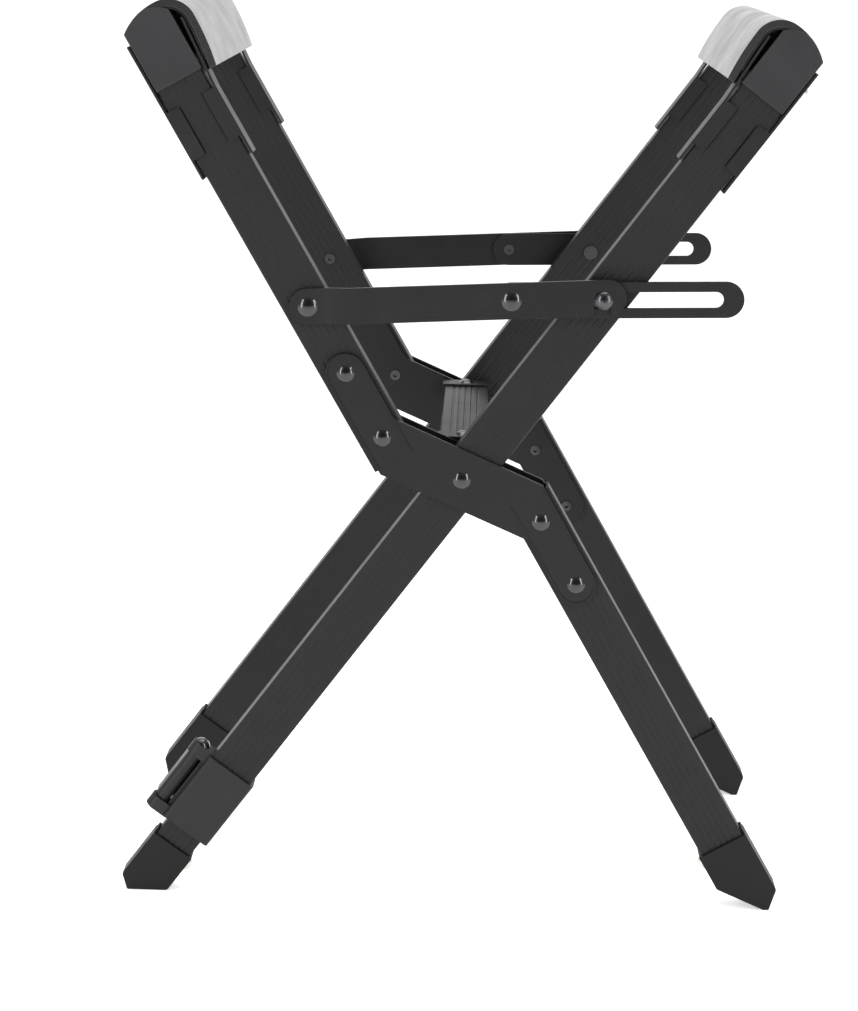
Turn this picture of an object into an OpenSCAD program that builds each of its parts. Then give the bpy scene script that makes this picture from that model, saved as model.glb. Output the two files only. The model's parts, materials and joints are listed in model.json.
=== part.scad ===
// Folding sawhorse. Two X frames, front and rear, are joined by two padded top rails and a
// cross tube. In each X frame a straight leg turns between the plates of a cranked leg, and
// a hooked stay holds the frame open. The front straight leg has a sliding, clamped foot.
// Origin: on the floor, under the pivot axis, midway between the frames. +X right, +Z up,
// the front frame at -Y.

/* [Frame] */
// Height of the pivot axis above the floor
pivot_h = 372; // [360:1:390]
// Height of the rails' tops above the floor
rail_h = 760; // [735:1:785]
// Distance between the outer faces of the front and rear legs
frame_d = 300; // [280:5:380]
// Lean of the cranked legs from vertical, in degrees
lean_a = 30.6; // [30:0.1:31.5]
// Lean of the straight legs from vertical, in degrees
lean_b = 35.7; // [35:0.1:36.5]

/* [Leg tubes] */
// Width of a leg tube
tube_w = 40; // [38:1:42]
// Thickness of a leg tube
tube_t = 20; // [19:0.5:22]
// Wall of every tube
tube_wall = 2; // [1.8:0.1:2.2]
// Corner radius of a tube
tube_r = 1.6; // [1:0.1:1.9]
// Distance between neighbouring flutes on a wide face
flute_pitch = 5.5; // [5:0.1:6]
// Radius of the round tool that makes a flute
flute_r = 1.3; // [1.2:0.1:1.5]
// Depth of a flute
flute_depth = 0.5; // [0.3:0.1:0.7]

/* [Pivot plates] */
// Thickness of a pivot plate
plate_t = 3; // [2.5:0.1:3.2]
// Half the width of a plate's arm
arm_r = 16.5; // [15:0.5:18]
// Half the width of a plate's middle
waist_r = 24; // [22:0.5:26]
// Fall of a plate's middle towards the right, in degrees
waist_fall = 22.9; // [21:0.1:25]
// Distance from the pivot to the near rivet of an arm, along the leg
near_rivet = 63.5; // [60:0.5:66]
// Distance from the pivot to the far rivet of an arm, along the leg
far_rivet = 125.5; // [120:0.5:130]
// Radius of a rivet's head
head_r = 7.4; // [7:0.1:8]
// Height of a rivet's head
head_h = 3; // [2.5:0.1:3.5]

/* [Stays] */
// Distance from the pivot to the stay's rivet on the cranked leg, along the leg
stay_rivet_s = 189; // [187:1:191]
// Distance from the pivot to the stay's stud on the straight leg, along the leg
stud_s = 192; // [190:1:194]
// Height of both stay bars
bar_h = 30; // [28:0.5:31]
// Thickness of both stay bars
bar_t = 3; // [2.8:0.1:3]
// Rise of the hook bar towards the right, in degrees
bar_rise = 3.8; // [3.6:0.1:4]
// Distance between the hook bar's two rivets
bar_rivets = 167.6; // [166:0.2:169]
// Distance from the hook bar's leg rivet to its round end
hook_len = 262; // [260:1:264]
// Width of the notch in the hook bar
notch_w = 13.7; // [13:0.1:14]
// Width of the slot in the slotted bar
slot_w = 13.3; // [12.5:0.1:14]
// Distance from the slotted bar's rivet to its far round end
slotted_len = 191; // [189:1:194]

/* [Top rails] */
// Thickness of the rail cover
cover_t = 6.5; // [6:0.1:7]
// Thickness of the metal arch under the cover
core_t = 1.6; // [1.2:0.1:1.8]
// Thickness of the sheet that the rail clips are bent from
clip_t = 2; // [1.8:0.1:2.2]
// Thickness of a leg cap's wide walls
cap_wall = 2; // [1.8:0.1:2.2]

/* [Cross tube] */
// Height of the cross tube's middle above the pivot axis
cross_rise = 19.5; // [19:0.5:22]
// Length of the brackets that hold the cross tube's ends
bracket_len = 22; // [20:1:30]

/* [Feet] */
// Wall of a foot around its tube
foot_wall = 2.5; // [2.2:0.1:3]
// Length of a fixed foot, from its top edge to its tip
foot_len = 71; // [68:1:74]
// Width of the flat at a fixed foot's tip
foot_flat = 5; // [4:0.5:7]

/* [Levelling leg] */
// Width of the sliding tube
slide_w = 35; // [34.5:0.1:35.2]
// Thickness of the sliding tube
slide_t = 14.8; // [14:0.1:15]
// Distance from the pivot to the collar's top, along the leg
collar_s = 323; // [318:1:326]
// Length of the collar
collar_len = 67; // [64:1:68]
// Length of the sliding foot, from its top edge to its tip
slide_foot_len = 56; // [54:1:60]

/* [Hidden] */
$fn = 64;

side_gap = 0.2;                       // straight leg to each pivot plate
leg_gap = 0.6;                        // between the two legs' tubes when they lie parallel
fixed_gap = 0.02;                     // round a shank that is held fast
run_gap = 0.05;                       // round a shank that turns
tube_t_b = tube_t - 2 * side_gap;     // thickness of the straight leg
crank = tube_w + leg_gap;             // offset of the cranked leg's tubes from the pivot
leg_y = -(frame_d - tube_t) / 2;      // middle of the front legs' thickness
face_y = -frame_d / 2;                // outer face of the front cranked leg
tube_end_s = 40;                      // where the cranked leg's tubes start, from the pivot

shank_r = 3;                          // plate rivets and stay rivets
pin_r = 5;                            // pivot pins
bush_r = 7;                           // outside of a pivot bush
rim_w = 3;                            // raised rim of a pivot plate's arm
rim_h = 0.8;

// Rail section, drawn from the middle of the leg: +X to the inner side, +Z up the leg, zero
// at the cap's lower edge. Three arcs, each tangent to the next.
cap_x = tube_w / 2 + 1;               // half the width of a cap
top_arc = [11, 12.1, 51.7];           // centre x, centre z and radius
nose_r = 23.5;
nose_x = 13.2;
nose_z = top_arc[1] + sqrt(pow(top_arc[2] - nose_r, 2) - pow(nose_x - top_arc[0], 2));
join_angle = atan2(nose_z - top_arc[1], nose_x - top_arc[0]);
side_r = 220;
side_x = nose_x + nose_r - side_r;
rail_foot_z = 44;                     // lower edge of the rail on the outer side
cover_lip_z = -4;                     // lower edge of the cover on the inner side
core_lip_z = 8;                       // lower edge of the metal arch on the inner side
beam_foot_z = 12;                     // underside of the beam under the arch
beam_floor_z = beam_foot_z + tube_wall;
beam_rib_x = 20;                      // where the beam's solid rib starts
beam_half = frame_d / 2 - tube_t - cap_wall - 0.3;
cap_crown = [1, 36, 26.4];            // arc of a cap's own top: centre x, centre z, radius
tube_in_cap = 38;                     // length of leg tube inside a cap

function rail_reach(lean) = nose_z * cos(lean) + nose_x * sin(lean) + nose_r;
cap_s_a = (rail_h - pivot_h - rail_reach(lean_a) + crank * sin(lean_a)) / cos(lean_a);
cap_s_b = (rail_h - pivot_h - rail_reach(lean_b)) / cos(lean_b);

clip_top = 43;                        // clip plate, above and below the cap's lower edge
clip_foot = -79;
tab_top = -18;
tab_foot = -62;
tab_w = 13;
outer_clip_x = -(tube_w / 2 + 4);     // outer face of the outer clip
inner_clip_x = tube_w / 2 + 3.8;      // outer face of the inner clip's straight part
inner_clip_tip_x = tube_w / 2 + 7.9;  // outer face of the inner clip's top
rail_screw_z = 23.6;

// Feet, drawn from the middle of the tube: +X to the outer side, zero at the top edge
foot_hw = tube_w / 2 + foot_wall;
foot_tip_x = 8;
foot_shoulder = 58;                   // length of the outer side
foot_heel = 33;                       // length of the inner side
foot_tongue = 4.5;
foot_radii = [1, 1, 4, 1.5];          // top corners, shoulder and tip
tube_in_foot = 28;
foot_screw_z = -9.5;
foot_s_a = (pivot_h + (crank + foot_tip_x) * sin(lean_a)) / cos(lean_a) - foot_len;
foot_s_b = (pivot_h + foot_tip_x * sin(lean_b)) / cos(lean_b) - foot_len;

// Levelling leg
slide_foot_hw = slide_w / 2 + foot_wall;
slide_foot_shoulder = 47;
slide_foot_s = (pivot_h + foot_tip_x * sin(lean_b)) / cos(lean_b) - slide_foot_len;
slide_foot_heel = slide_foot_len - (foot_tip_x + slide_foot_hw) * tan(lean_b);
slide_top_s = 230;                    // upper end of the sliding tube
outer_tube_foot_s = collar_s + 49;    // lower end of the front straight tube
collar_wall = 3;
collar_hw = tube_w / 2 + collar_wall;
collar_ht = tube_t_b / 2 + collar_wall;
lever_axis_x = -32.8;
lever_r = 6.4;
ear_r = 8.4;
ear_t = 11;
ear_over = 2;                         // ears stand past the collar's two ends
lever_pin_r = 2.5;
lever_gap = 0.4;
blade_t = 3;
blade_reach = 44;                     // length of the lever's blade, across the collar's back

// Stays: layers outwards from the front leg's outer face
stay_low_y = face_y - 0.3;            // hook bar where it lies on the cranked leg
slotted_y = face_y - 3.3;
hook_y = slotted_y - bar_t - 0.3;
joggle_start = 16;
joggle_end = 33;
stud_r = 4.5;
stud_neck_r = 2.7;
stud_head_r = 7.5;
stay_head_r = 8.2;
stay_bush_r = slot_w / 2 - run_gap;
notch_left = 8.5;                     // from the stud's middle to the notch's left side
notch_round = 6;
slot_start = 60;                      // slot's first arc centre, from the slotted bar's rivet
slot_stop = 167.5;                    // slot's last arc centre

stay_rivet = [-sin(lean_a) * stay_rivet_s - cos(lean_a) * crank,
              cos(lean_a) * stay_rivet_s - sin(lean_a) * crank];
stud = [sin(lean_b) * stud_s, cos(lean_b) * stud_s];
bar_joint = stay_rivet + bar_rivets * [cos(bar_rise), sin(bar_rise)];
slotted_rise = atan2(stud[1] - bar_joint[1], stud[0] - bar_joint[0]);
stud_span = norm(stud - stay_rivet);
stud_turn = atan2(stud[1] - stay_rivet[1], stud[0] - stay_rivet[0]) - bar_rise;
stud_on_hook = stud_span * [cos(stud_turn), sin(stud_turn)];

// ---- placing ----

// Draws a front part as it is, and a rear part as its mirror image
module at_end(end) mirror([0, end == "rear" ? 1 : 0, 0]) children();

// Cranked leg: +Z up the leg, +X towards the straight leg's top
module cranked() translate([0, 0, pivot_h]) rotate([0, -lean_a, 0]) children();

// Straight leg: +Z up the leg, +X to its outer side at the top
module straight() translate([0, 0, pivot_h]) rotate([0, lean_b, 0]) children();

// Top of a cranked leg, and of a straight leg: +X to the inner side, zero at the cap's edge
module left_top() cranked() translate([-crank, 0, cap_s_a]) children();
module right_top() straight() translate([0, 0, cap_s_b]) mirror([1, 0, 0]) children();

// Bottom of a cranked leg, and of a straight leg: +X to the outer side, zero at the foot's edge
module right_bottom() cranked() translate([crank, 0, -foot_s_a]) children();
module left_bottom(s) straight() translate([0, 0, -s]) mirror([1, 0, 0]) children();

// Extrudes an outline drawn in X and Z from depth y0 to depth y1
module slab(y0, y1) translate([0, y1, 0]) rotate([90, 0, 0]) linear_extrude(y1 - y0) children();

// A round bar along Y
module rod(x, z, r, y0, y1) translate([x, y1, z]) rotate([90, 0, 0]) cylinder(r = r, h = y1 - y0);

// A flat piece between two depths, on a wide side of the leg
module block(x0, x1, y0, y1, z0, z1) translate([x0, y0, z0]) cube([x1 - x0, y1 - y0, z1 - z0]);

// ---- shared shapes ----

function arc(c, r, from, to, n) =
    [for (i = [0:n]) c + r * [cos(from + (to - from) * i / n), sin(from + (to - from) * i / n)]];

// Rounds each corner of a convex outline by its own radius
function rounded(points, radii) = [
    for (i = [0:len(points) - 1])
        let (corner = points[i],
             back = points[(i + len(points) - 1) % len(points)] - corner,
             ahead = points[(i + 1) % len(points)] - corner,
             u = back / norm(back), v = ahead / norm(ahead),
             half = acos(u * v) / 2,
             hub = corner + (u + v) / norm(u + v) * radii[i] / sin(half),
             start = corner + u * radii[i] / tan(half) - hub,
             stop = corner + v * radii[i] / tan(half) - hub)
        for (k = [0:6])
            let (way = start * (6 - k) + stop * k)
            hub + radii[i] * way / norm(way)
];

module round_rect(w, t, r) {
    square([w - 2 * r, t], center = true);
    square([w, t - 2 * r], center = true);
    for (x = [-1, 1], y = [-1, 1]) translate([x * (w / 2 - r), y * (t / 2 - r)]) circle(r);
}

// Section of a fluted tube
module fluted(w, t) {
    difference() {
        round_rect(w, t, tube_r);
        round_rect(w - 2 * tube_wall, t - 2 * tube_wall, tube_r / 2);
        for (side = [-1, 1], i = [-2:2])
            translate([i * flute_pitch, side * (t / 2 + flute_r - flute_depth)]) circle(flute_r);
    }
}

// A domed head on the XY plane, standing up +Z
module dome(r, h) {
    ball = (r * r + h * h) / (2 * h);
    rotate_extrude()
        intersection() {
            translate([0, h - ball]) circle(ball);
            square([r, h]);
        }
}

// A rivet along Y: dome at y0 pointing to -Y, shank to y1, ring-shaped tail beyond it
module rivet(x, z, y0, y1, dome_r, tail_h) {
    tail_r = 4.8;
    pit_r = 1.9;
    translate([x, y0, z]) rotate([90, 0, 0]) dome(dome_r, head_h);
    difference() {
        union() {
            rod(x, z, shank_r, y0, y1);
            rod(x, z, tail_r, y1, y1 + tail_h);
        }
        rod(x, z, pit_r, y1 - 2, y1 + tail_h + 1);
    }
}

// ---- tubes ----

module upper_leg_tube(end) color("#3a3a3c") at_end(end) cranked() difference() {
    translate([-crank, leg_y, tube_end_s]) linear_extrude(cap_s_a + tube_in_cap - tube_end_s)
        fluted(tube_w, tube_t);
    for (s = [near_rivet, far_rivet, stay_rivet_s])
        rod(-crank, s, shank_r + fixed_gap, face_y - 1, leg_y + tube_t);
}

module lower_leg_tube(end) color("#3a3a3c") at_end(end) cranked() difference() {
    translate([crank, leg_y, -foot_s_a - tube_in_foot])
        linear_extrude(foot_s_a + tube_in_foot - tube_end_s) fluted(tube_w, tube_t);
    for (s = [near_rivet, far_rivet])
        rod(crank, -s, shank_r + fixed_gap, face_y - 1, leg_y + tube_t);
    foot_screw_hole(crank - foot_hw, -foot_s_a + foot_screw_z, 1);
}

module straight_leg_tube(end) {
    foot_s = end == "front" ? outer_tube_foot_s : foot_s_b + tube_in_foot;
    color("#39393b") at_end(end) straight() difference() {
        translate([0, leg_y, -foot_s]) linear_extrude(foot_s + cap_s_b + tube_in_cap)
            fluted(tube_w, tube_t_b);
        rod(0, 0, bush_r + fixed_gap, face_y - 1, leg_y + tube_t);
        rod(0, stud_s, stud_r + fixed_gap, face_y - 1, leg_y + tube_t);
        rail_screw_hole();
        if (end == "rear") foot_screw_hole(foot_hw, -foot_s_b + foot_screw_z, -1);
    }
}

// Bore for a foot's screw, from the foot's inner side at x into the tube, along side
module foot_screw_hole(x, z, side)
    translate([x, leg_y, z]) rotate([0, side * 90, 0])
        translate([0, 0, -1]) cylinder(r = 2 + fixed_gap, h = 8);

// Bore for a rail screw, through the outer side of the straight leg's top
module rail_screw_hole()
    translate([-outer_clip_x, leg_y, cap_s_b + rail_screw_z]) rotate([0, -90, 0])
        translate([0, 0, -1]) cylinder(r = 2 + fixed_gap, h = 9);

module extension_tube() color("#3d3d40") straight()
    translate([0, leg_y, -slide_foot_s - tube_in_foot]) difference() {
        linear_extrude(slide_foot_s + tube_in_foot - slide_top_s) fluted(slide_w, slide_t);
        translate([slide_foot_hw, -leg_y, tube_in_foot + foot_screw_z])
            foot_screw_hole(0, 0, -1);
    }

// ---- pivot plates ----

module arm_outline(grow) {
    translate([-crank, far_rivet]) circle(arm_r + grow);
    translate([-crank - arm_r - grow, tube_end_s]) square([2 * (arm_r + grow), far_rivet - tube_end_s]);
}

// Half of a plate's middle, from the pivot to the arm
module half_waist() intersection() {
    rotate(-waist_fall - lean_a) translate([-200, -waist_r]) square([201, 2 * waist_r]);
    translate([-crank - arm_r, -100]) square([200, 300]);
}

// Rounds the inner corner between an arm and the middle
module knee() {
    r = 12;
    turn = waist_fall + lean_a;
    edge = arm_r - crank;
    corner = [edge, (waist_r - sin(turn) * edge) / cos(turn)];
    reach = r / tan((90 + turn) / 2);
    hub = corner + [r, reach];
    waist_point = corner + reach * [cos(turn), -sin(turn)];
    difference() {
        polygon([corner - [1, 3], corner + [-1, reach], corner + [0, reach], hub,
                 waist_point, waist_point - [sin(turn), cos(turn)]]);
        translate(hub) circle(r);
    }
}

// A plate's two halves, each the other's half turn
module pivot_plate(y0, y1) for (turn = [0, 180]) rotate([0, turn, 0]) {
    slab(y0, y1) arm_outline(0);
    slab(y0, y1) half_waist();
    slab(y0, y1) knee();
}

module rim_outline() for (turn = [0, 180]) rotate(turn) difference() {
    arm_outline(0);
    arm_outline(-rim_w / 2);
}

module plate_holes(y0, y1) {
    rod(0, 0, pin_r + fixed_gap, y0, y1);
    for (turn = [0, 180], s = [near_rivet, far_rivet]) rotate([0, turn, 0])
        rod(-crank, s, shank_r + fixed_gap, y0, y1);
}

module outer_pivot_plate(end) color("#2f2f31") at_end(end) cranked() difference() {
    union() {
        pivot_plate(face_y - plate_t, face_y);
        slab(face_y - plate_t - rim_h, face_y - plate_t) rim_outline();
    }
    plate_holes(face_y - 10, face_y + 1);
}

module inner_pivot_plate(end) color("#2f2f31") at_end(end) cranked() difference() {
    pivot_plate(face_y + tube_t, face_y + tube_t + plate_t);
    plate_holes(face_y + tube_t - 1, face_y + tube_t + 10);
}

module plate_rivets() color("#1c1c1e") for (end = ["front", "rear"]) at_end(end) cranked()
    for (turn = [0, 180], s = [near_rivet, far_rivet]) rotate([0, turn, 0])
        rivet(-crank, s, face_y - plate_t, face_y + tube_t + plate_t, head_r, 1.2);

module pivot_pins() color("#1c1c1e") for (end = ["front", "rear"]) at_end(end)
    translate([0, 0, pivot_h]) {
        translate([0, face_y - plate_t, 0]) rotate([90, 0, 0]) dome(head_r, head_h);
        difference() {
            union() {
                rod(0, 0, pin_r, face_y - plate_t, face_y + tube_t + plate_t);
                rod(0, 0, 7, face_y + tube_t + plate_t, face_y + tube_t + plate_t + 1.6);
            }
            rod(0, 0, 2.5, face_y + tube_t + plate_t - 3, face_y + tube_t + plate_t + 2);
        }
    }

module pivot_bushes() color("#d8d8d2") for (end = ["front", "rear"]) at_end(end)
    translate([0, 0, pivot_h]) difference() {
        rod(0, 0, bush_r, leg_y - tube_t_b / 2, leg_y + tube_t_b / 2);
        rod(0, 0, pin_r + run_gap, face_y - 1, face_y + tube_t + 1);
    }

// ---- cross tube ----

cross_y = -(frame_d / 2 - tube_t - plate_t);  // inner face of the front inner plate
cross_z = pivot_h + cross_rise;

module cross_tube() color("#434346") difference() {
    translate([0, 0, cross_z]) rotate([90, 0, 0])
        linear_extrude(-2 * cross_y - 2 * clip_t - 2, center = true) fluted(tube_w, tube_t);
    for (end = ["front", "rear"]) at_end(end) cross_rivet_hole();
}

module cross_rivet_hole()
    translate([0, cross_y + bracket_len / 2, cross_z + tube_t / 2 - tube_wall - 1])
        cylinder(r = shank_r + fixed_gap, h = 10);

// A channel over the cross tube's end, with a flange welded to the inner pivot plate
module cross_tube_bracket(end) color("#2c2c2e") at_end(end) {
    hw = tube_w / 2;
    low = cross_z - tube_t / 2;
    high = cross_z + tube_t / 2;
    difference() {
        union() {
            block(-hw - clip_t, hw + clip_t, cross_y, cross_y + bracket_len, high, high + clip_t);
            for (x = [-hw - clip_t, hw])
                block(x, x + clip_t, cross_y, cross_y + bracket_len, low + 4, high);
            block(-hw - clip_t, hw + clip_t, cross_y, cross_y + clip_t, low, high);
        }
        cross_rivet_hole();
    }
}

module cross_tube_rivets() color("#1c1c1e") for (end = ["front", "rear"]) at_end(end)
    translate([0, cross_y + bracket_len / 2, cross_z + tube_t / 2 + clip_t]) {
        dome(head_r - 0.6, head_h);
        translate([0, 0, -clip_t - tube_wall]) cylinder(r = shank_r, h = clip_t + tube_wall);
        translate([0, 0, -clip_t - tube_wall - 1.2]) cylinder(r = 4.5, h = 1.2);
    }

// ---- top rails ----

function rail_line(depth, lip_z) = concat(
    [[-cap_x + depth, rail_foot_z]],
    arc([top_arc[0], top_arc[1]], top_arc[2] - depth,
        180 - acos((top_arc[0] + cap_x - depth) / (top_arc[2] - depth)), join_angle, 20),
    arc([nose_x, nose_z], nose_r - depth, join_angle - 4, 0, 24),
    arc([side_x, nose_z], side_r - depth, -0.5, -asin((nose_z - lip_z) / (side_r - depth)), 12)
);

function reversed(list) = [for (i = [len(list) - 1:-1:0]) list[i]];

module rail_band(outer, inner, lip_z)
    polygon(concat(rail_line(outer, lip_z), reversed(rail_line(inner, lip_z))));

module rail_cover(half_len) color("#1f1f21") slab(-half_len, half_len)
    rail_band(0, cover_t, cover_lip_z);

module rail_core(half_len) color("#9a9a9c") slab(-half_len, half_len)
    rail_band(cover_t + fixed_gap, cover_t + core_t, core_lip_z);

// Hollow beam under the arch, between the legs, with a solid rib on its inner side
module rail_beam(half_len) color("#3a3a3c") slab(-half_len, half_len) difference() {
    depth = cover_t + core_t + fixed_gap;
    wall = depth + tube_wall;
    polygon(concat(rail_line(depth, beam_foot_z), [[-cap_x + depth, beam_foot_z]]));
    intersection() {
        polygon(concat(rail_line(wall, beam_floor_z), [[-cap_x + wall, beam_floor_z]]));
        translate([-cap_x, 0]) square([cap_x + beam_rib_x, 100]);
    }
}

module left_rail_beam() left_top() rail_beam(beam_half);
module right_rail_beam() right_top() rail_beam(beam_half);
module left_rail_cover() left_top() rail_cover(frame_d / 2);
module left_rail_core() left_top() rail_core(frame_d / 2);
module right_rail_cover() right_top() rail_cover(frame_d / 2 - side_gap);
module right_rail_core() right_top() rail_core(frame_d / 2 - side_gap);

// Face of a cap, which hides the rail's end
module cap_face() polygon(concat(
    [[cap_x, 0], [-cap_x, 0]],
    arc([top_arc[0], top_arc[1]], top_arc[2], 180 - acos((top_arc[0] + cap_x) / top_arc[2]), 104, 10),
    arc([cap_crown[0], cap_crown[1]], cap_crown[2], 92, 41, 12)
));

// Body of a cap, which fits under the rail's arch
module cap_body() {
    inset = cover_t + core_t + 0.5;
    translate([-cap_x, 0]) square([2 * cap_x, rail_foot_z - 0.3]);
    intersection() {
        translate([inset - cap_x, rail_foot_z - 3]) square([2 * cap_x - inset, 11]);
        translate([top_arc[0], top_arc[1]]) circle(top_arc[2] - inset);
    }
}

module leg_cap(t) color("#3c3c3e") difference() {
    union() {
        slab(leg_y - t / 2 - cap_wall, leg_y - t / 2) cap_face();
        slab(leg_y - t / 2, leg_y + t / 2 + cap_wall) cap_body();
    }
    translate([0, leg_y, -1]) linear_extrude(tube_in_cap + 1) round_rect(tube_w, t, tube_r);
}

module left_cap(end) at_end(end) left_top() leg_cap(tube_t);
module right_cap(end) at_end(end) right_top() difference() {
    leg_cap(tube_t_b);
    translate([-(tube_w / 2 + 3), leg_y, rail_screw_z]) rotate([0, 90, 0])
        cylinder(r = 2 + fixed_gap, h = 8);
}

// Two tabs that hold a clip on the wide faces of the leg; the corners on one side are rounded
module clip_tabs(x0, x1, t, side) {
    left = side < 0 ? 3 : 0.05;
    right = side < 0 ? 0.05 : 3;
    for (y = [leg_y - t / 2 - clip_t, leg_y + t / 2])
        slab(y, y + clip_t) polygon(rounded(
            [[x0, tab_foot], [x0, tab_top], [x1, tab_top], [x1, tab_foot]], [left, left, right, right]));
}

module outer_clip(t) {
    clip_tabs(outer_clip_x, outer_clip_x + tab_w, t, 1);
    block(outer_clip_x, outer_clip_x + clip_t, leg_y - t / 2 - clip_t, leg_y + t / 2 + clip_t,
          clip_foot, clip_top);
}

module inner_clip(t) {
    clip_tabs(inner_clip_x - tab_w, inner_clip_x, t, -1);
    slab(leg_y - t / 2 - clip_t, leg_y + t / 2 + clip_t) polygon([
        [inner_clip_x, clip_foot], [inner_clip_x, tab_top],
        [inner_clip_tip_x, clip_top - 2], [inner_clip_tip_x, clip_top],
        [inner_clip_tip_x - clip_t, clip_top], [inner_clip_tip_x - clip_t, clip_top - 2],
        [inner_clip_x - clip_t, tab_top], [inner_clip_x - clip_t, clip_foot]
    ]);
}

module left_outer_clip(end) color("#303032") at_end(end) left_top() outer_clip(tube_t);
module left_inner_clip(end) color("#303032") at_end(end) left_top() inner_clip(tube_t);
module right_inner_clip(end) color("#303032") at_end(end) right_top() inner_clip(tube_t_b);
module right_outer_clip(end) color("#303032") at_end(end) right_top() difference() {
    outer_clip(tube_t_b);
    translate([outer_clip_x - 1, leg_y, rail_screw_z]) rotate([0, 90, 0])
        cylinder(r = 2 + fixed_gap, h = 5);
}

module rail_screws() color("#b9b4ae") for (end = ["front", "rear"]) at_end(end) right_top()
    translate([outer_clip_x, leg_y, rail_screw_z]) rotate([0, -90, 0]) {
        dome(6, 4.6);
        translate([0, 0, -7]) cylinder(r = 2, h = 7);
    }

// ---- feet ----

// Outline of a foot; tail lists the points from the tip to the heel
module foot_outline(hw, shoulder, len, tail)
    polygon(rounded(concat([[-hw, 0], [hw, 0], [hw, -shoulder], [foot_tip_x, -len]], tail),
                    concat(foot_radii, [for (i = [1:len(tail)]) i == len(tail) ? 4 : 1.5])));

module foot(hw, w, t, shoulder, len, tail) color("#343436") difference() {
    union() {
        slab(leg_y - t / 2 - foot_wall, leg_y + t / 2 + foot_wall)
            foot_outline(hw, shoulder, len, tail);
        block(hw - foot_wall, hw - 0.4, leg_y - t / 2 + 1, leg_y + t / 2 - 1, -2, foot_tongue);
    }
    translate([0, leg_y, -tube_in_foot]) linear_extrude(tube_in_foot + 20)
        round_rect(w, t, tube_r);
    foot_screw_hole(-hw, foot_screw_z, 1);
}

function fixed_tail(lean) = [
    [foot_tip_x - foot_flat * cos(lean), -foot_len + foot_flat * sin(lean)],
    [-foot_hw, -foot_heel]
];

module fixed_foot(t, lean) foot(foot_hw, tube_w, t, foot_shoulder, foot_len, fixed_tail(lean));

module right_foot(end) at_end(end) right_bottom() fixed_foot(tube_t, lean_a);
module left_foot_rear() at_end("rear") left_bottom(foot_s_b) fixed_foot(tube_t_b, lean_b);
module extension_foot() left_bottom(slide_foot_s)
    foot(slide_foot_hw, slide_w, slide_t, slide_foot_shoulder, slide_foot_len,
         [[-slide_foot_hw, -slide_foot_heel]]);

module foot_screw(hw) color("#8d8d8a") translate([-hw, leg_y, foot_screw_z]) rotate([0, -90, 0]) {
    dome(6.5, 4.5);
    translate([0, 0, -6]) cylinder(r = 2, h = 6);
}

module right_foot_screws() for (end = ["front", "rear"]) at_end(end) right_bottom()
    foot_screw(foot_hw);
module left_foot_screw() at_end("rear") left_bottom(foot_s_b) foot_screw(foot_hw);
module extension_foot_screw() left_bottom(slide_foot_s) foot_screw(slide_foot_hw);

// ---- levelling clamp ----

// Outline of an ear around the lever's pin, in X and Y from the leg's middle
module ear_outline() {
    translate([lever_axis_x, 0]) circle(ear_r);
    translate([lever_axis_x, -ear_r]) square([-lever_axis_x - tube_w / 2, 2 * ear_r]);
}

module clamp_collar() color("#38383a") straight() translate([0, leg_y, -collar_s - collar_len])
    difference() {
        union() {
            linear_extrude(collar_len) round_rect(2 * collar_hw, 2 * collar_ht, 3.4);
            translate([-collar_hw - 2.7, -6, 0]) cube([5, 12, collar_len]);
            for (z = [-ear_over, collar_len + ear_over - ear_t])
                translate([0, 0, z]) linear_extrude(ear_t) ear_outline();
        }
        translate([0, 0, -10]) linear_extrude(collar_len + 20)
            round_rect(slide_w + 0.6, slide_t + 0.6, tube_r);
        translate([0, 0, collar_s + collar_len - outer_tube_foot_s])
            linear_extrude(collar_len) round_rect(tube_w, tube_t_b, tube_r);
        translate([lever_axis_x, 0, -10])
            cylinder(r = lever_pin_r + fixed_gap, h = collar_len + 20);
    }

module lever_pin() color("#a8a8a6") straight()
    translate([lever_axis_x, leg_y, -collar_s - collar_len - ear_over]) {
        cylinder(r = lever_pin_r, h = collar_len + 2 * ear_over);
        translate([0, 0, collar_len + 2 * ear_over]) dome(7, 4.5);
    }

// Barrel between the ears, and a blade that lies on the collar's back
module clamp_lever() color("#333335") straight() {
    low = -ear_over + ear_t + lever_gap;
    high = collar_len + ear_over - ear_t - lever_gap;
    back = collar_ht + 0.6;
    translate([0, leg_y, -collar_s - collar_len + low]) linear_extrude(high - low) difference() {
        union() {
            translate([lever_axis_x, 0]) circle(lever_r);
            translate([lever_axis_x - lever_r, 0]) square([blade_t + 1, back + blade_t]);
            translate([lever_axis_x - lever_r, back]) square([blade_reach, blade_t]);
        }
        translate([lever_axis_x, 0]) circle(lever_pin_r + run_gap);
    }
}

// ---- stays ----

// Hook bar's frame: origin at its leg rivet, +X along the bar
module on_hook_bar() translate([stay_rivet[0], 0, pivot_h + stay_rivet[1]])
    rotate([0, -bar_rise, 0]) children();

// Slotted bar's frame: origin at its rivet, +X along the bar
module on_slotted_bar() translate([bar_joint[0], 0, pivot_h + bar_joint[1]])
    rotate([0, -slotted_rise, 0]) children();

module at_stud() translate([stud[0], 0, pivot_h + stud[1]]) children();

// Notch round the stud, open at the bar's lower edge, with its left lower corner rounded
module notch() {
    x = stud_on_hook[0];
    z = stud_on_hook[1];
    left = x - notch_left;
    mid = left + notch_w / 2;
    top = z + 1;
    translate([mid, top]) circle(notch_w / 2);
    translate([left, -bar_h]) square([notch_w, bar_h + top]);
    difference() {
        translate([left - notch_round, -bar_h / 2 - 1]) square([notch_round + 0.1, notch_round + 1]);
        translate([left - notch_round, -bar_h / 2 + notch_round]) circle(notch_round);
    }
}

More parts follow.
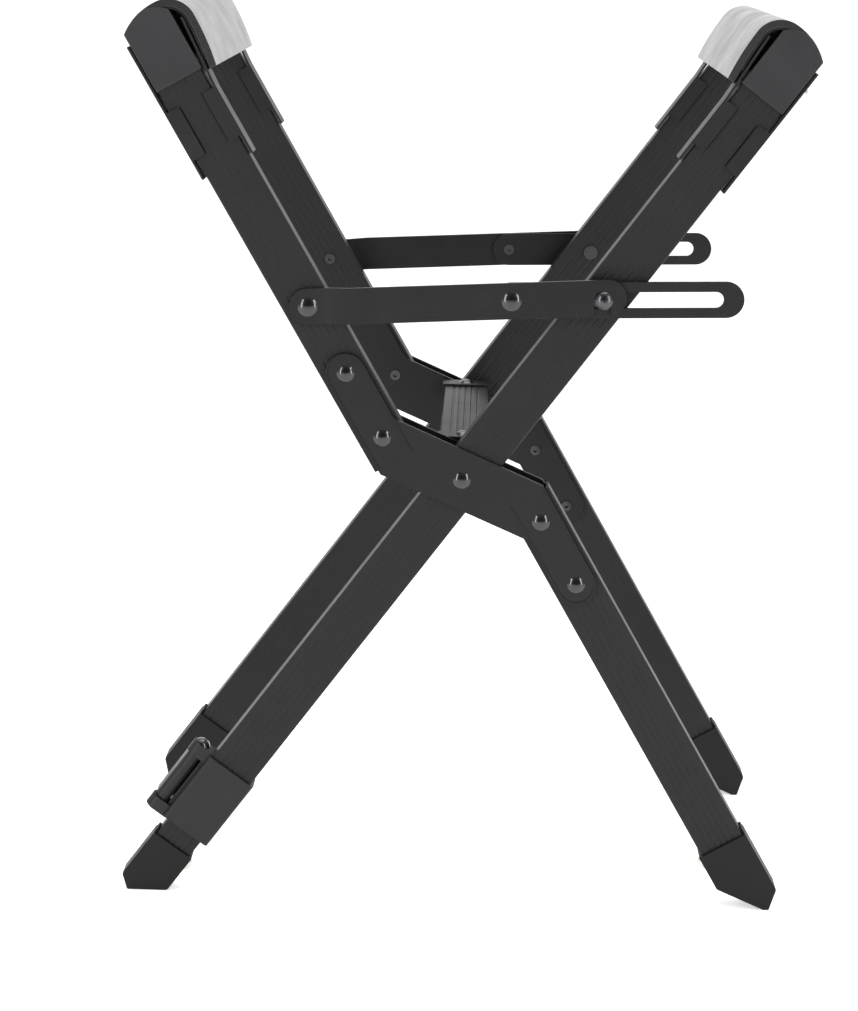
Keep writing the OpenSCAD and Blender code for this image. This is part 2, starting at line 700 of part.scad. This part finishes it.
module hook_bar(end) color("#333336") at_end(end) on_hook_bar() difference() {
    union() {
        rod(0, 0, bar_h / 2, stay_low_y - bar_t, stay_low_y);
        translate([0, 0, -bar_h / 2]) linear_extrude(bar_h) polygon([
            [0, stay_low_y], [joggle_start, stay_low_y], [joggle_end, hook_y],
            [hook_len - bar_h / 2, hook_y], [hook_len - bar_h / 2, hook_y - bar_t],
            [joggle_end, hook_y - bar_t], [joggle_start, stay_low_y - bar_t],
            [0, stay_low_y - bar_t]
        ]);
        rod(hook_len - bar_h / 2, 0, bar_h / 2, hook_y - bar_t, hook_y);
    }
    rod(0, 0, shank_r + run_gap, hook_y - 10, face_y);
    rod(bar_rivets, 0, shank_r + fixed_gap, hook_y - 10, face_y);
    slab(hook_y - 10, face_y) notch();
}

module slotted_bar(end) color("#343437") at_end(end) on_slotted_bar()
    slab(slotted_y - bar_t, slotted_y) difference() {
        union() {
            circle(bar_h / 2);
            translate([0, -bar_h / 2]) square([slotted_len - bar_h / 2, bar_h]);
            translate([slotted_len - bar_h / 2, 0]) circle(bar_h / 2);
        }
        circle(shank_r + fixed_gap);
        for (x = [slot_start, slot_stop]) translate([x, 0]) circle(slot_w / 2);
        translate([slot_start, -slot_w / 2]) square([slot_stop - slot_start, slot_w]);
    }

// The joint rivet is in two halves that meet between the bars
module hook_rivet(end) color("#1c1c1e") at_end(end) on_hook_bar() {
    translate([bar_rivets, hook_y - bar_t, 0]) rotate([90, 0, 0]) dome(stay_head_r, head_h);
    rod(bar_rivets, 0, shank_r, hook_y - bar_t, hook_y);
}

module slot_rivet(end) color("#1c1c1e") at_end(end) on_slotted_bar() difference() {
    union() {
        rod(0, 0, shank_r, slotted_y - bar_t, slotted_y);
        rod(0, 0, 4.8, slotted_y, slotted_y + 0.7);
    }
    rod(0, 0, 1.9, slotted_y - 2, slotted_y + 1);
}

module stay_pivot_rivets() color("#1c1c1e") for (end = ["front", "rear"]) at_end(end) cranked()
    rivet(-crank, stay_rivet_s, stay_low_y - bar_t - 0.05, face_y + tube_t, stay_head_r, 1.2);

// Stud: a shoulder on the leg, a journal for the bush, a thin neck in the notch and a dome
module stay_studs() color("#1c1c1e") for (end = ["front", "rear"]) at_end(end) at_stud() {
    leg_face = leg_y - tube_t_b / 2;
    head_y = hook_y - bar_t - 0.3;
    rod(0, 0, stud_r, slotted_y - bar_t, leg_y + tube_t_b / 2);
    rod(0, 0, 9, slotted_y + 0.1, leg_face);
    rod(0, 0, stud_neck_r, head_y, slotted_y - bar_t);
    translate([0, head_y, 0]) rotate([90, 0, 0]) dome(stud_head_r, head_h + 0.6);
    rod(0, 0, 6.5, leg_y + tube_t_b / 2, leg_y + tube_t_b / 2 + 1.2);
}

module stay_bush(end) color("#d8d8d2") at_end(end) at_stud() difference() {
    rod(0, 0, stay_bush_r, slotted_y - bar_t - 0.1, slotted_y);
    rod(0, 0, stud_r + run_gap, slotted_y - 10, slotted_y + 10);
}

// ---- nodes ----

upper_leg_tube("front");  // upper_leg_tube_front
upper_leg_tube("rear");  // upper_leg_tube_rear
lower_leg_tube("front");  // lower_leg_tube_front
lower_leg_tube("rear");  // lower_leg_tube_rear
outer_pivot_plate("front");  // outer_pivot_plate_front
outer_pivot_plate("rear");  // outer_pivot_plate_rear
inner_pivot_plate("front");  // inner_pivot_plate_front
inner_pivot_plate("rear");  // inner_pivot_plate_rear
plate_rivets();
pivot_pins();
cross_tube();
cross_tube_bracket("front");  // cross_tube_bracket_front
cross_tube_bracket("rear");  // cross_tube_bracket_rear
cross_tube_rivets();
left_cap("front");  // left_cap_front
left_cap("rear");  // left_cap_rear
left_rail_core();
left_rail_cover();
left_rail_beam();
left_outer_clip("front");  // left_outer_clip_front
left_outer_clip("rear");  // left_outer_clip_rear
left_inner_clip("front");  // left_inner_clip_front
left_inner_clip("rear");  // left_inner_clip_rear
right_foot("front");  // right_foot_front
right_foot("rear");  // right_foot_rear
right_foot_screws();
stay_pivot_rivets();
straight_leg_tube("front");  // straight_leg_tube_front
straight_leg_tube("rear");  // straight_leg_tube_rear
pivot_bushes();
right_cap("front");  // right_cap_front
right_cap("rear");  // right_cap_rear
right_rail_core();
right_rail_cover();
right_rail_beam();
right_outer_clip("front");  // right_outer_clip_front
right_outer_clip("rear");  // right_outer_clip_rear
right_inner_clip("front");  // right_inner_clip_front
right_inner_clip("rear");  // right_inner_clip_rear
rail_screws();
left_foot_rear();
left_foot_screw();
stay_studs();
clamp_collar();
lever_pin();
clamp_lever();
hook_bar("front");  // hook_bar_front
hook_bar("rear");  // hook_bar_rear
hook_rivet("front");  // hook_rivet_front
hook_rivet("rear");  // hook_rivet_rear
stay_bush("front");  // stay_bush_front
stay_bush("rear");  // stay_bush_rear
slotted_bar("front");  // slotted_bar_front
slotted_bar("rear");  // slotted_bar_rear
slot_rivet("front");  // slot_rivet_front
slot_rivet("rear");  // slot_rivet_rear
extension_tube();
extension_foot();
extension_foot_screw();
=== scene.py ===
import json
import math

import bmesh
import bpy
from mathutils import Matrix, Vector


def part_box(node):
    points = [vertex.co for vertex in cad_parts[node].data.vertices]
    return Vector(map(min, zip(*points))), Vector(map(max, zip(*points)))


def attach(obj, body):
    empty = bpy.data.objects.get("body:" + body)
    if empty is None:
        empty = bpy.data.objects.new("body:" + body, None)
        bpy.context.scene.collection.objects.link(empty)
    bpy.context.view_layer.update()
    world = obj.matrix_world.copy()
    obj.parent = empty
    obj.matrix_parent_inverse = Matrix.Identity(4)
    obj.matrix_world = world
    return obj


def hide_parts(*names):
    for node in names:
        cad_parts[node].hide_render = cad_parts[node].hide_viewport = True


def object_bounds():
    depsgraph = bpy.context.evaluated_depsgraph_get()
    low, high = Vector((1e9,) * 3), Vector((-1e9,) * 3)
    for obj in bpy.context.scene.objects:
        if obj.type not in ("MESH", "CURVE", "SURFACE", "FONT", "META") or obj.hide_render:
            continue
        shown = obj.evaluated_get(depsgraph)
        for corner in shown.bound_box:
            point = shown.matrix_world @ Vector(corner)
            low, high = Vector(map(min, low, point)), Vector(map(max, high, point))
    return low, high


MM = 0.001
LEAN_CRANKED = math.radians(30.6)   # cranked legs lean to the left going up
LEAN_STRAIGHT = math.radians(35.7)  # straight legs lean to the right going up
FLOOR_HALF = 40.0                   # half the floor's side
FLOOR_DROP = 0.2 * MM               # keeps the floor just under the feet's soles
RIM_REACH = 0.05 * MM               # how near a face an edge lies to count as its rim
WELD = 2e-6                         # vertices closer than this are one
SLIVER = 1e-6                       # edges shorter than this are dropped
FLAT = math.radians(0.6)            # faces that meet at less than this are one face

CAMERA_PLACE = (0.0106, -2.1317, 0.8367)
CAMERA_ANGLES = (-0.475, -11.051, -1.982)  # pan about Z, tilt about X, roll about Y, in degrees
CAMERA_SHIFT = (-0.0676, -0.115)           # in picture heights
SENSOR_HEIGHT = 36.0                       # mm
FOCAL_LENGTH = 86.854                      # mm

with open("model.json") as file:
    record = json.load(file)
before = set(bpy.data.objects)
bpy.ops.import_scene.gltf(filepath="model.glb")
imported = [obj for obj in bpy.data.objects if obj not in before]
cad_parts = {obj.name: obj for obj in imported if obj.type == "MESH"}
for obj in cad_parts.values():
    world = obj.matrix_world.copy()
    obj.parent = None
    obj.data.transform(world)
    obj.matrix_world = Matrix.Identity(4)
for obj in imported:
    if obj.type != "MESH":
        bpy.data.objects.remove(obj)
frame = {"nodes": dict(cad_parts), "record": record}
cad_lo, cad_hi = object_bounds()
nodes = frame["nodes"]
body_of = {n: b for b, members in frame["record"]["behaviour"]["bodies"].items() for n in members}
slot_of = {s["node"]: s["material_slot"] for s in frame["record"]["subparts"]}


# ---- camera ----

def make_camera():
    """Camera a little above the rails, tilted down at the front frame and rolled with the photograph."""
    data = bpy.data.cameras.new("camera")
    data.sensor_fit = "VERTICAL"
    data.sensor_height = SENSOR_HEIGHT
    data.lens = FOCAL_LENGTH
    data.shift_x, data.shift_y = CAMERA_SHIFT
    camera = bpy.data.objects.new("camera", data)
    bpy.context.scene.collection.objects.link(camera)
    pan, tilt, roll = (math.radians(angle) for angle in CAMERA_ANGLES)
    turn = Matrix.Rotation(pan, 3, "Z") @ Matrix.Rotation(tilt, 3, "X") @ Matrix.Rotation(roll, 3, "Y")
    right, ahead, up = turn.col
    axes = Matrix((right, up, -ahead)).transposed().to_4x4()
    camera.matrix_world = Matrix.Translation(CAMERA_PLACE) @ axes
    bpy.context.scene.camera = camera


# ---- materials ----

class Nodes:
    """A material's node tree, with short calls that add and join nodes."""

    def __init__(self, name):
        self.material = bpy.data.materials.new(name)
        self.material.use_nodes = True
        self.tree = self.material.node_tree
        self.tree.nodes.clear()
        self.shader = self.tree.nodes.new("ShaderNodeBsdfPrincipled")
        output = self.tree.nodes.new("ShaderNodeOutputMaterial")
        self.join(self.shader.outputs["BSDF"], output.inputs["Surface"])

    def join(self, source, target):
        self.tree.links.new(source, target)

    def constants(self, **values):
        """Sets the shader's own sockets. An underscore in a name stands for a space."""
        for name, value in values.items():
            self.shader.inputs[name.replace("_", " ")].default_value = value

    def place(self, turn=(0.0, 0.0, 0.0), stretch=(1.0, 1.0, 1.0)):
        """Object coordinates in metres, turned and then scaled."""
        coordinate = self.tree.nodes.new("ShaderNodeTexCoord")
        mapping = self.tree.nodes.new("ShaderNodeMapping")
        mapping.inputs["Rotation"].default_value = turn
        self.join(coordinate.outputs["Object"], mapping.inputs["Vector"])
        scale = self.tree.nodes.new("ShaderNodeVectorMath")
        scale.operation = "MULTIPLY"
        scale.inputs[1].default_value = stretch
        self.join(mapping.outputs["Vector"], scale.inputs[0])
        return scale.outputs["Vector"]

    def noise(self, where, scale, detail=3.0, rough=0.55):
        node = self.tree.nodes.new("ShaderNodeTexNoise")
        node.inputs["Scale"].default_value = scale
        node.inputs["Detail"].default_value = detail
        node.inputs["Roughness"].default_value = rough
        self.join(where, node.inputs["Vector"])
        return node.outputs["Fac"]

    def cells(self, where, scale):
        node = self.tree.nodes.new("ShaderNodeTexVoronoi")
        node.inputs["Scale"].default_value = scale
        self.join(where, node.inputs["Vector"])
        return node.outputs["Distance"]

    def remap(self, value, low, high, to_low, to_high):
        node = self.tree.nodes.new("ShaderNodeMapRange")
        for name, number in (("From Min", low), ("From Max", high), ("To Min", to_low), ("To Max", to_high)):
            node.inputs[name].default_value = number
        self.join(value, node.inputs["Value"])
        return node.outputs["Result"]

    def ramp(self, value, stops):
        node = self.tree.nodes.new("ShaderNodeValToRGB")
        elements = node.color_ramp.elements
        while len(elements) < len(stops):
            elements.new(0.5)
        for element, (at, color) in zip(elements, stops):
            element.position = at
            element.color = (*color, 1.0)
        self.join(value, node.inputs["Fac"])
        return node.outputs["Color"]

    def mix(self, factor, first, second):
        node = self.tree.nodes.new("ShaderNodeMix")
        node.data_type = "RGBA"
        self.join(factor, node.inputs[0])
        for value, target in ((first, node.inputs[6]), (second, node.inputs[7])):
            if isinstance(value, tuple):
                target.default_value = (*value, 1.0)
            else:
                self.join(value, target)
        return node.outputs[2]

    def combine(self, first, second, operation="ADD"):
        node = self.tree.nodes.new("ShaderNodeMath")
        node.operation = operation
        for value, target in ((first, node.inputs[0]), (second, node.inputs[1])):
            if isinstance(value, float):
                target.default_value = value
            else:
                self.join(value, target)
        return node.outputs["Value"]

    def bump(self, height, strength, distance, below=None):
        node = self.tree.nodes.new("ShaderNodeBump")
        node.inputs["Strength"].default_value = strength
        node.inputs["Distance"].default_value = distance
        self.join(height, node.inputs["Height"])
        if below is not None:
            self.join(below, node.inputs["Normal"])
        return node.outputs["Normal"]

    def finish(self, color=None, roughness=None, normal=None):
        for value, name in ((color, "Base Color"), (roughness, "Roughness"), (normal, "Normal")):
            if value is not None:
                self.join(value, self.shader.inputs[name])
        return self.material


def shade(color, factor):
    return tuple(c * factor for c in color)


def anodised(name, turn, color, along=(1.0, 1.0, 1.0)):
    """Dark anodised extrusion: hair-fine die lines along the tube, faint clouding, a matt grain."""
    n = Nodes(name)
    n.constants(IOR=1.35, Specular_IOR_Level=0.32)
    lines = n.noise(n.place(turn, along), 1.0, 3.0, 0.6)
    clouds = n.noise(n.place(turn), 22.0, 5.0, 0.6)
    grain = n.noise(n.place(turn), 2600.0, 2.0)
    tint = n.ramp(clouds, [(0.3, shade(color, 0.93)), (0.55, color), (0.75, shade(color, 1.08))])
    lined = n.mix(n.remap(lines, 0.4, 0.7, 0.0, 0.12), tint, shade(color, 1.25))
    rough = n.combine(n.remap(clouds, 0.3, 0.7, 0.38, 0.46), n.remap(lines, 0.3, 0.7, -0.02, 0.03))
    fine = n.bump(lines, 0.04, 0.00008)
    return n.finish(lined, rough, n.bump(grain, 0.12, 0.00006, fine))


def powder_coat(name, color, rough=0.42, peel=0.35, scale=950.0):
    """Black powder coat: orange peel, tiny pinholes, faint dust and uneven gloss."""
    n = Nodes(name)
    n.constants(IOR=1.5, Specular_IOR_Level=0.25, Coat_Weight=0.08, Coat_Roughness=0.3)
    where = n.place()
    peels = n.noise(where, scale, 3.0, 0.5)
    clouds = n.noise(where, 36.0, 5.0, 0.62)
    specks = n.cells(where, 1500.0)
    tint = n.ramp(clouds, [(0.3, shade(color, 0.8)), (0.6, color), (0.8, shade(color, 1.3))])
    dusty = n.mix(n.remap(specks, 0.0, 0.16, 0.3, 0.0), tint, shade(color, 2.2))
    height = n.combine(peels, n.remap(specks, 0.0, 0.25, -0.35, 0.0))
    return n.finish(dusty, n.remap(clouds, 0.3, 0.7, rough - 0.06, rough + 0.09),
                    n.bump(height, peel, 0.00014))


def moulded(name, color, rough, grain_scale, grain, coat=0.0):
    """Moulded plastic: fine spark-eroded grain, faint flow marks and rubbed patches."""
    n = Nodes(name)
    n.constants(IOR=1.47, Specular_IOR_Level=0.25, Coat_Weight=coat, Coat_Roughness=0.25)
    where = n.place()
    pits = n.cells(where, grain_scale)
    fine = n.noise(where, grain_scale * 1.7, 2.0)
    flow = n.noise(n.place((0.3, 0.7, 0.2), (1.0, 1.0, 0.25)), 34.0, 4.0, 0.55)
    tint = n.ramp(flow, [(0.28, shade(color, 0.88)), (0.55, color), (0.8, shade(color, 1.14))])
    rubbed = n.remap(n.noise(where, 62.0, 6.0, 0.68), 0.56, 0.74, 0.0, 0.3)
    height = n.combine(pits, n.combine(fine, 0.5, "MULTIPLY"))
    return n.finish(n.mix(rubbed, tint, shade(color, 1.45)),
                    n.combine(n.remap(flow, 0.3, 0.7, rough - 0.04, rough + 0.06),
                              n.combine(rubbed, -0.15, "MULTIPLY")),
                    n.bump(height, grain, 0.0001))


def gloss_black(name, color):
    """Glossy black rivet: wet-looking enamel over a turned dome, with hairline scratches."""
    n = Nodes(name)
    n.constants(Metallic=0.25, IOR=1.52, Coat_Weight=0.7, Coat_Roughness=0.07)
    where = n.place()
    clouds = n.noise(where, 140.0, 4.0)
    hairs = n.noise(n.place((0.4, 0.2, 0.9), (1.0, 1.0, 14.0)), 240.0, 4.0, 0.7)
    tint = n.ramp(clouds, [(0.3, shade(color, 0.8)), (0.7, shade(color, 1.3))])
    return n.finish(tint, n.remap(hairs, 0.3, 0.75, 0.14, 0.3), n.bump(clouds, 0.12, 0.0001))


def bright_steel(name, color):
    """Plated steel, bright or dark, with fine turning marks and a dull bloom."""
    n = Nodes(name)
    n.constants(Metallic=1.0)
    where = n.place()
    bloom = n.noise(where, 210.0, 5.0, 0.65)
    marks = n.noise(n.place((0.0, 0.6, 0.3), (1.0, 9.0, 1.0)), 520.0, 3.0)
    tint = n.ramp(bloom, [(0.3, shade(color, 0.8)), (0.6, color), (0.8, shade(color, 1.08))])
    return n.finish(tint, n.remap(bloom, 0.3, 0.75, 0.2, 0.38), n.bump(marks, 0.2, 0.00005))


def dark_aluminium(name, color):
    """Dark anodised arch, with rolling lines that run along the rail."""
    n = Nodes(name)
    n.constants(Metallic=1.0)
    lines = n.noise(n.place(stretch=(900.0, 9.0, 900.0)), 1.0, 4.0, 0.62)
    clouds = n.noise(n.place(), 26.0, 5.0)
    tint = n.ramp(clouds, [(0.3, shade(color, 0.86)), (0.6, color), (0.85, shade(color, 1.08))])
    return n.finish(n.mix(n.remap(lines, 0.35, 0.75, 0.0, 0.4), tint, shade(color, 0.72)),
                    n.remap(lines, 0.3, 0.7, 0.26, 0.44), n.bump(lines, 0.25, 0.00009))


def rail_skin(name, color):
    """Smooth black rail cover: extrusion lines along the rail, light handling marks, soft gloss."""
    n = Nodes(name)
    n.constants(IOR=1.5, Coat_Weight=0.15, Coat_Roughness=0.3)
    lines = n.noise(n.place(stretch=(620.0, 5.0, 620.0)), 1.0, 3.0, 0.6)
    clouds = n.noise(n.place(), 24.0, 5.0, 0.6)
    smears = n.noise(n.place((0.0, 0.0, 0.35), (16.0, 90.0, 60.0)), 1.0, 6.0, 0.72)
    marks = n.remap(smears, 0.6, 0.74, 0.0, 0.4)
    tint = n.ramp(clouds, [(0.3, shade(color, 0.85)), (0.6, color), (0.8, shade(color, 1.3))])
    rough = n.combine(n.remap(clouds, 0.3, 0.7, 0.16, 0.28), n.combine(marks, 0.2, "MULTIPLY"))
    return n.finish(n.mix(marks, tint, shade(color, 2.0)), rough, n.bump(lines, 0.35, 0.00018))


def nylon(name, color):
    """Natural nylon: slightly waxy, with faint clouding."""
    n = Nodes(name)
    n.constants(IOR=1.53, Subsurface_Weight=0.12, Subsurface_Scale=0.002)
    clouds = n.noise(n.place(), 160.0, 4.0)
    tint = n.ramp(clouds, [(0.3, shade(color, 0.9)), (0.7, color)])
    return n.finish(tint, n.remap(clouds, 0.3, 0.7, 0.32, 0.46), n.bump(clouds, 0.15, 0.0001))


def make_materials():
    tube = (0.018, 0.018, 0.019)
    across, along = 1500.0, 7.0     # die lines are fine across a tube and long along it
    leg_lines, cross_lines = (across, across, along), (across, along, across)
    return {
        "tube_cranked": anodised("tube_cranked", (0.0, LEAN_CRANKED, 0.0), tube, leg_lines),
        "tube_straight": anodised("tube_straight", (0.0, -LEAN_STRAIGHT, 0.0), tube, leg_lines),
        # Painted light: the cross tube gets the legs' anodised colour painted 1.15 times lighter, for the
        # light falling on its top face.
        "tube_cross_painted_light": anodised("tube_cross_painted_light", (0.0, 0.0, 0.0), shade(tube, 1.15), cross_lines),
        "plate": powder_coat("plate", (0.009, 0.009, 0.0094)),
        "clip": powder_coat("clip", (0.011, 0.011, 0.0118), 0.46, 0.22, 1300.0),
        "rivet": gloss_black("rivet", (0.006, 0.006, 0.007)),
        "screw": bright_steel("screw", (0.66, 0.64, 0.6)),
        "stud": bright_steel("stud", (0.09, 0.09, 0.095)),
        "cover": rail_skin("cover", (0.011, 0.011, 0.012)),
        "core": dark_aluminium("core", (0.04, 0.04, 0.043)),
        "bush": nylon("bush", (0.78, 0.76, 0.7)),
        "cap": moulded("cap", (0.029, 0.029, 0.031), 0.42, 1900.0, 0.1, 0.06),
        "foot": moulded("foot", (0.0075, 0.0075, 0.008), 0.5, 1250.0, 0.3),
        "clamp": moulded("clamp", (0.017, 0.017, 0.0185), 0.44, 1500.0, 0.22, 0.06),
    }


def material_for(node, materials):
    """A node's slot names its look, apart from the studs and the three directions of tube; the cross tube's
    colour is also painted lighter, as painted light on its top face.
    """
    slot = slot_of[node]
    if node == "stay_studs":
        return materials["stud"]
    if slot == "tube":
        if node == "cross_tube":
            return materials["tube_cross_painted_light"]
        straight = node.startswith(("straight_leg", "extension"))
        return materials["tube_straight" if straight else "tube_cranked"]
    return materials[slot]


# ---- pieces ----

def soften(node, width, segments=2, rims_only=False, sharp=32.0):
    """A copy of a CAD node with its sharp edges rounded, or only those of its front and back faces."""
    mesh = nodes[node].data.copy()
    piece = bpy.data.objects.new(node + "_look", mesh)
    bpy.context.scene.collection.objects.link(piece)
    bm = bmesh.new()
    bm.from_mesh(mesh)
    bmesh.ops.remove_doubles(bm, verts=bm.verts, dist=WELD)
    bmesh.ops.dissolve_degenerate(bm, edges=bm.edges, dist=SLIVER)
    bmesh.ops.dissolve_limit(bm, angle_limit=FLAT, verts=bm.verts, edges=bm.edges)
    edges = [e for e in bm.edges if len(e.link_faces) == 2 and e.calc_face_angle(0.0) > math.radians(sharp)]
    if rims_only:
        ends = [corner[1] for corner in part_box(node)]
        edges = [e for e in edges if any(all(abs(v.co.y - y) < RIM_REACH for v in e.verts) for y in ends)]
    bmesh.ops.bevel(bm, geom=edges, offset=width, offset_type="OFFSET", segments=segments, profile=0.6,
                    affect="EDGES", clamp_overlap=True)
    bm.to_mesh(mesh)
    bm.free()
    for polygon in mesh.polygons:
        polygon.use_smooth = True
    even = piece.modifiers.new("even", "WEIGHTED_NORMAL")
    even.keep_sharp = False
    even.weight = 60
    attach(piece, body_of[node])
    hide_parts(node)
    return piece


def make_pieces(materials):
    """Bevelled copies of CAD nodes. Very short edges shrink a bevel, on the collar to almost nothing."""
    widths = (
        (("outer_pivot_plate", "inner_pivot_plate"), 0.5 * MM, 3),
        (("hook_bar", "slotted_bar"), 0.5 * MM, 2),
        (("left_cap", "right_cap"), 0.9 * MM, 3, True),
        (("right_foot_front", "right_foot_rear", "left_foot_rear", "extension_foot"), 0.95 * MM, 4, True),
        (("left_outer_clip", "left_inner_clip", "right_outer_clip", "right_inner_clip"), 0.35 * MM, 2),
        (("cross_tube_bracket",), 0.35 * MM, 2),
        (("clamp_collar",), 1.6 * MM, 4),
        (("clamp_lever",), 0.9 * MM, 3),
        (("left_rail_cover", "right_rail_cover"), 0.8 * MM, 3),
    )
    for node in sorted(nodes):
        for starts, *rounding in widths:
            if node.startswith(starts) and not node.endswith(("screw", "screws")):
                mesh = soften(node, *rounding).data
                mesh.materials.clear()
                mesh.materials.append(material_for(node, materials))


def dress_cad_nodes(materials):
    """Gives every CAD node its material, the replaced ones included."""
    for node, piece in nodes.items():
        for slot in piece.material_slots:
            slot.material = material_for(node, materials)
        if not piece.material_slots:
            piece.data.materials.append(material_for(node, materials))


# ---- stage ----

def make_stage():
    corners = [(x * FLOOR_HALF, y * FLOOR_HALF, 0) for x, y in ((-1, -1), (1, -1), (1, 1), (-1, 1))]
    floor_mesh = bpy.data.meshes.new("floor")
    floor_mesh.from_pydata(corners, [], [(0, 1, 2, 3)])
    floor = bpy.data.objects.new("floor", floor_mesh)
    floor.location.z = cad_lo[2] - FLOOR_DROP
    bpy.context.scene.collection.objects.link(floor)
    n = Nodes("floor")
    n.constants(Specular_IOR_Level=0.1, Emission_Color=(1.0, 1.0, 1.0, 1.0), Emission_Strength=0.5)
    tone = n.ramp(n.noise(n.place(), 1.3, 3.0), [(0.3, (0.93, 0.93, 0.93)), (0.7, (0.95, 0.95, 0.95))])
    floor_mesh.materials.append(n.finish(tone, n.remap(n.noise(n.place(), 3.0), 0.3, 0.7, 0.6, 0.7)))


def area_light(name, place, target, size, energy):
    data = bpy.data.lights.new(name, "AREA")
    data.shape = "RECTANGLE"
    data.size, data.size_y = size
    data.energy = energy
    light = bpy.data.objects.new(name, data)
    light.location = place
    light.rotation_euler = (Vector(target) - Vector(place)).to_track_quat("-Z", "Y").to_euler()
    bpy.context.scene.collection.objects.link(light)


def make_world():
    """White studio round the object, dimmer in front of it, so that flat fronts stay dark."""
    world = bpy.data.worlds.new("studio")
    world.use_nodes = True
    tree = world.node_tree
    background = tree.nodes["Background"]
    coordinate = tree.nodes.new("ShaderNodeTexCoord")
    split = tree.nodes.new("ShaderNodeSeparateXYZ")
    fade = tree.nodes.new("ShaderNodeMapRange")
    path = tree.nodes.new("ShaderNodeLightPath")
    seen = tree.nodes.new("ShaderNodeMath")
    seen.operation = "MAXIMUM"
    front, dim = -0.9, 0.08         # a direction's Y, and the studio's strength there
    back, bright = 1.0, 1.25
    for name, number in (("From Min", front), ("From Max", back), ("To Min", dim), ("To Max", bright)):
        fade.inputs[name].default_value = number
    tree.links.new(coordinate.outputs["Generated"], split.inputs["Vector"])
    tree.links.new(split.outputs["Y"], fade.inputs["Value"])
    tree.links.new(fade.outputs["Result"], seen.inputs[0])
    tree.links.new(path.outputs["Is Camera Ray"], seen.inputs[1])
    tree.links.new(seen.outputs["Value"], background.inputs["Strength"])
    background.inputs["Color"].default_value = (1.0, 1.0, 1.0, 1.0)
    bpy.context.scene.world = world


def make_light():
    middle = (0.0, 0.0, 0.4)
    strip, square = (0.4, 2.2), (2.2, 2.2)
    side_watts, top_watts = 26.0, 45.0
    area_light("left_box", (-1.7, -1.6, 1.1), middle, strip, side_watts)
    area_light("right_box", (1.8, -1.5, 1.2), middle, strip, side_watts)
    area_light("top_box", (0.1, 0.3, 2.8), middle, square, top_watts)
    bpy.context.scene.view_settings.view_transform = "Standard"


make_camera()
looks = make_materials()
make_pieces(looks)
dress_cad_nodes(looks)
make_stage()
make_world()
make_light()
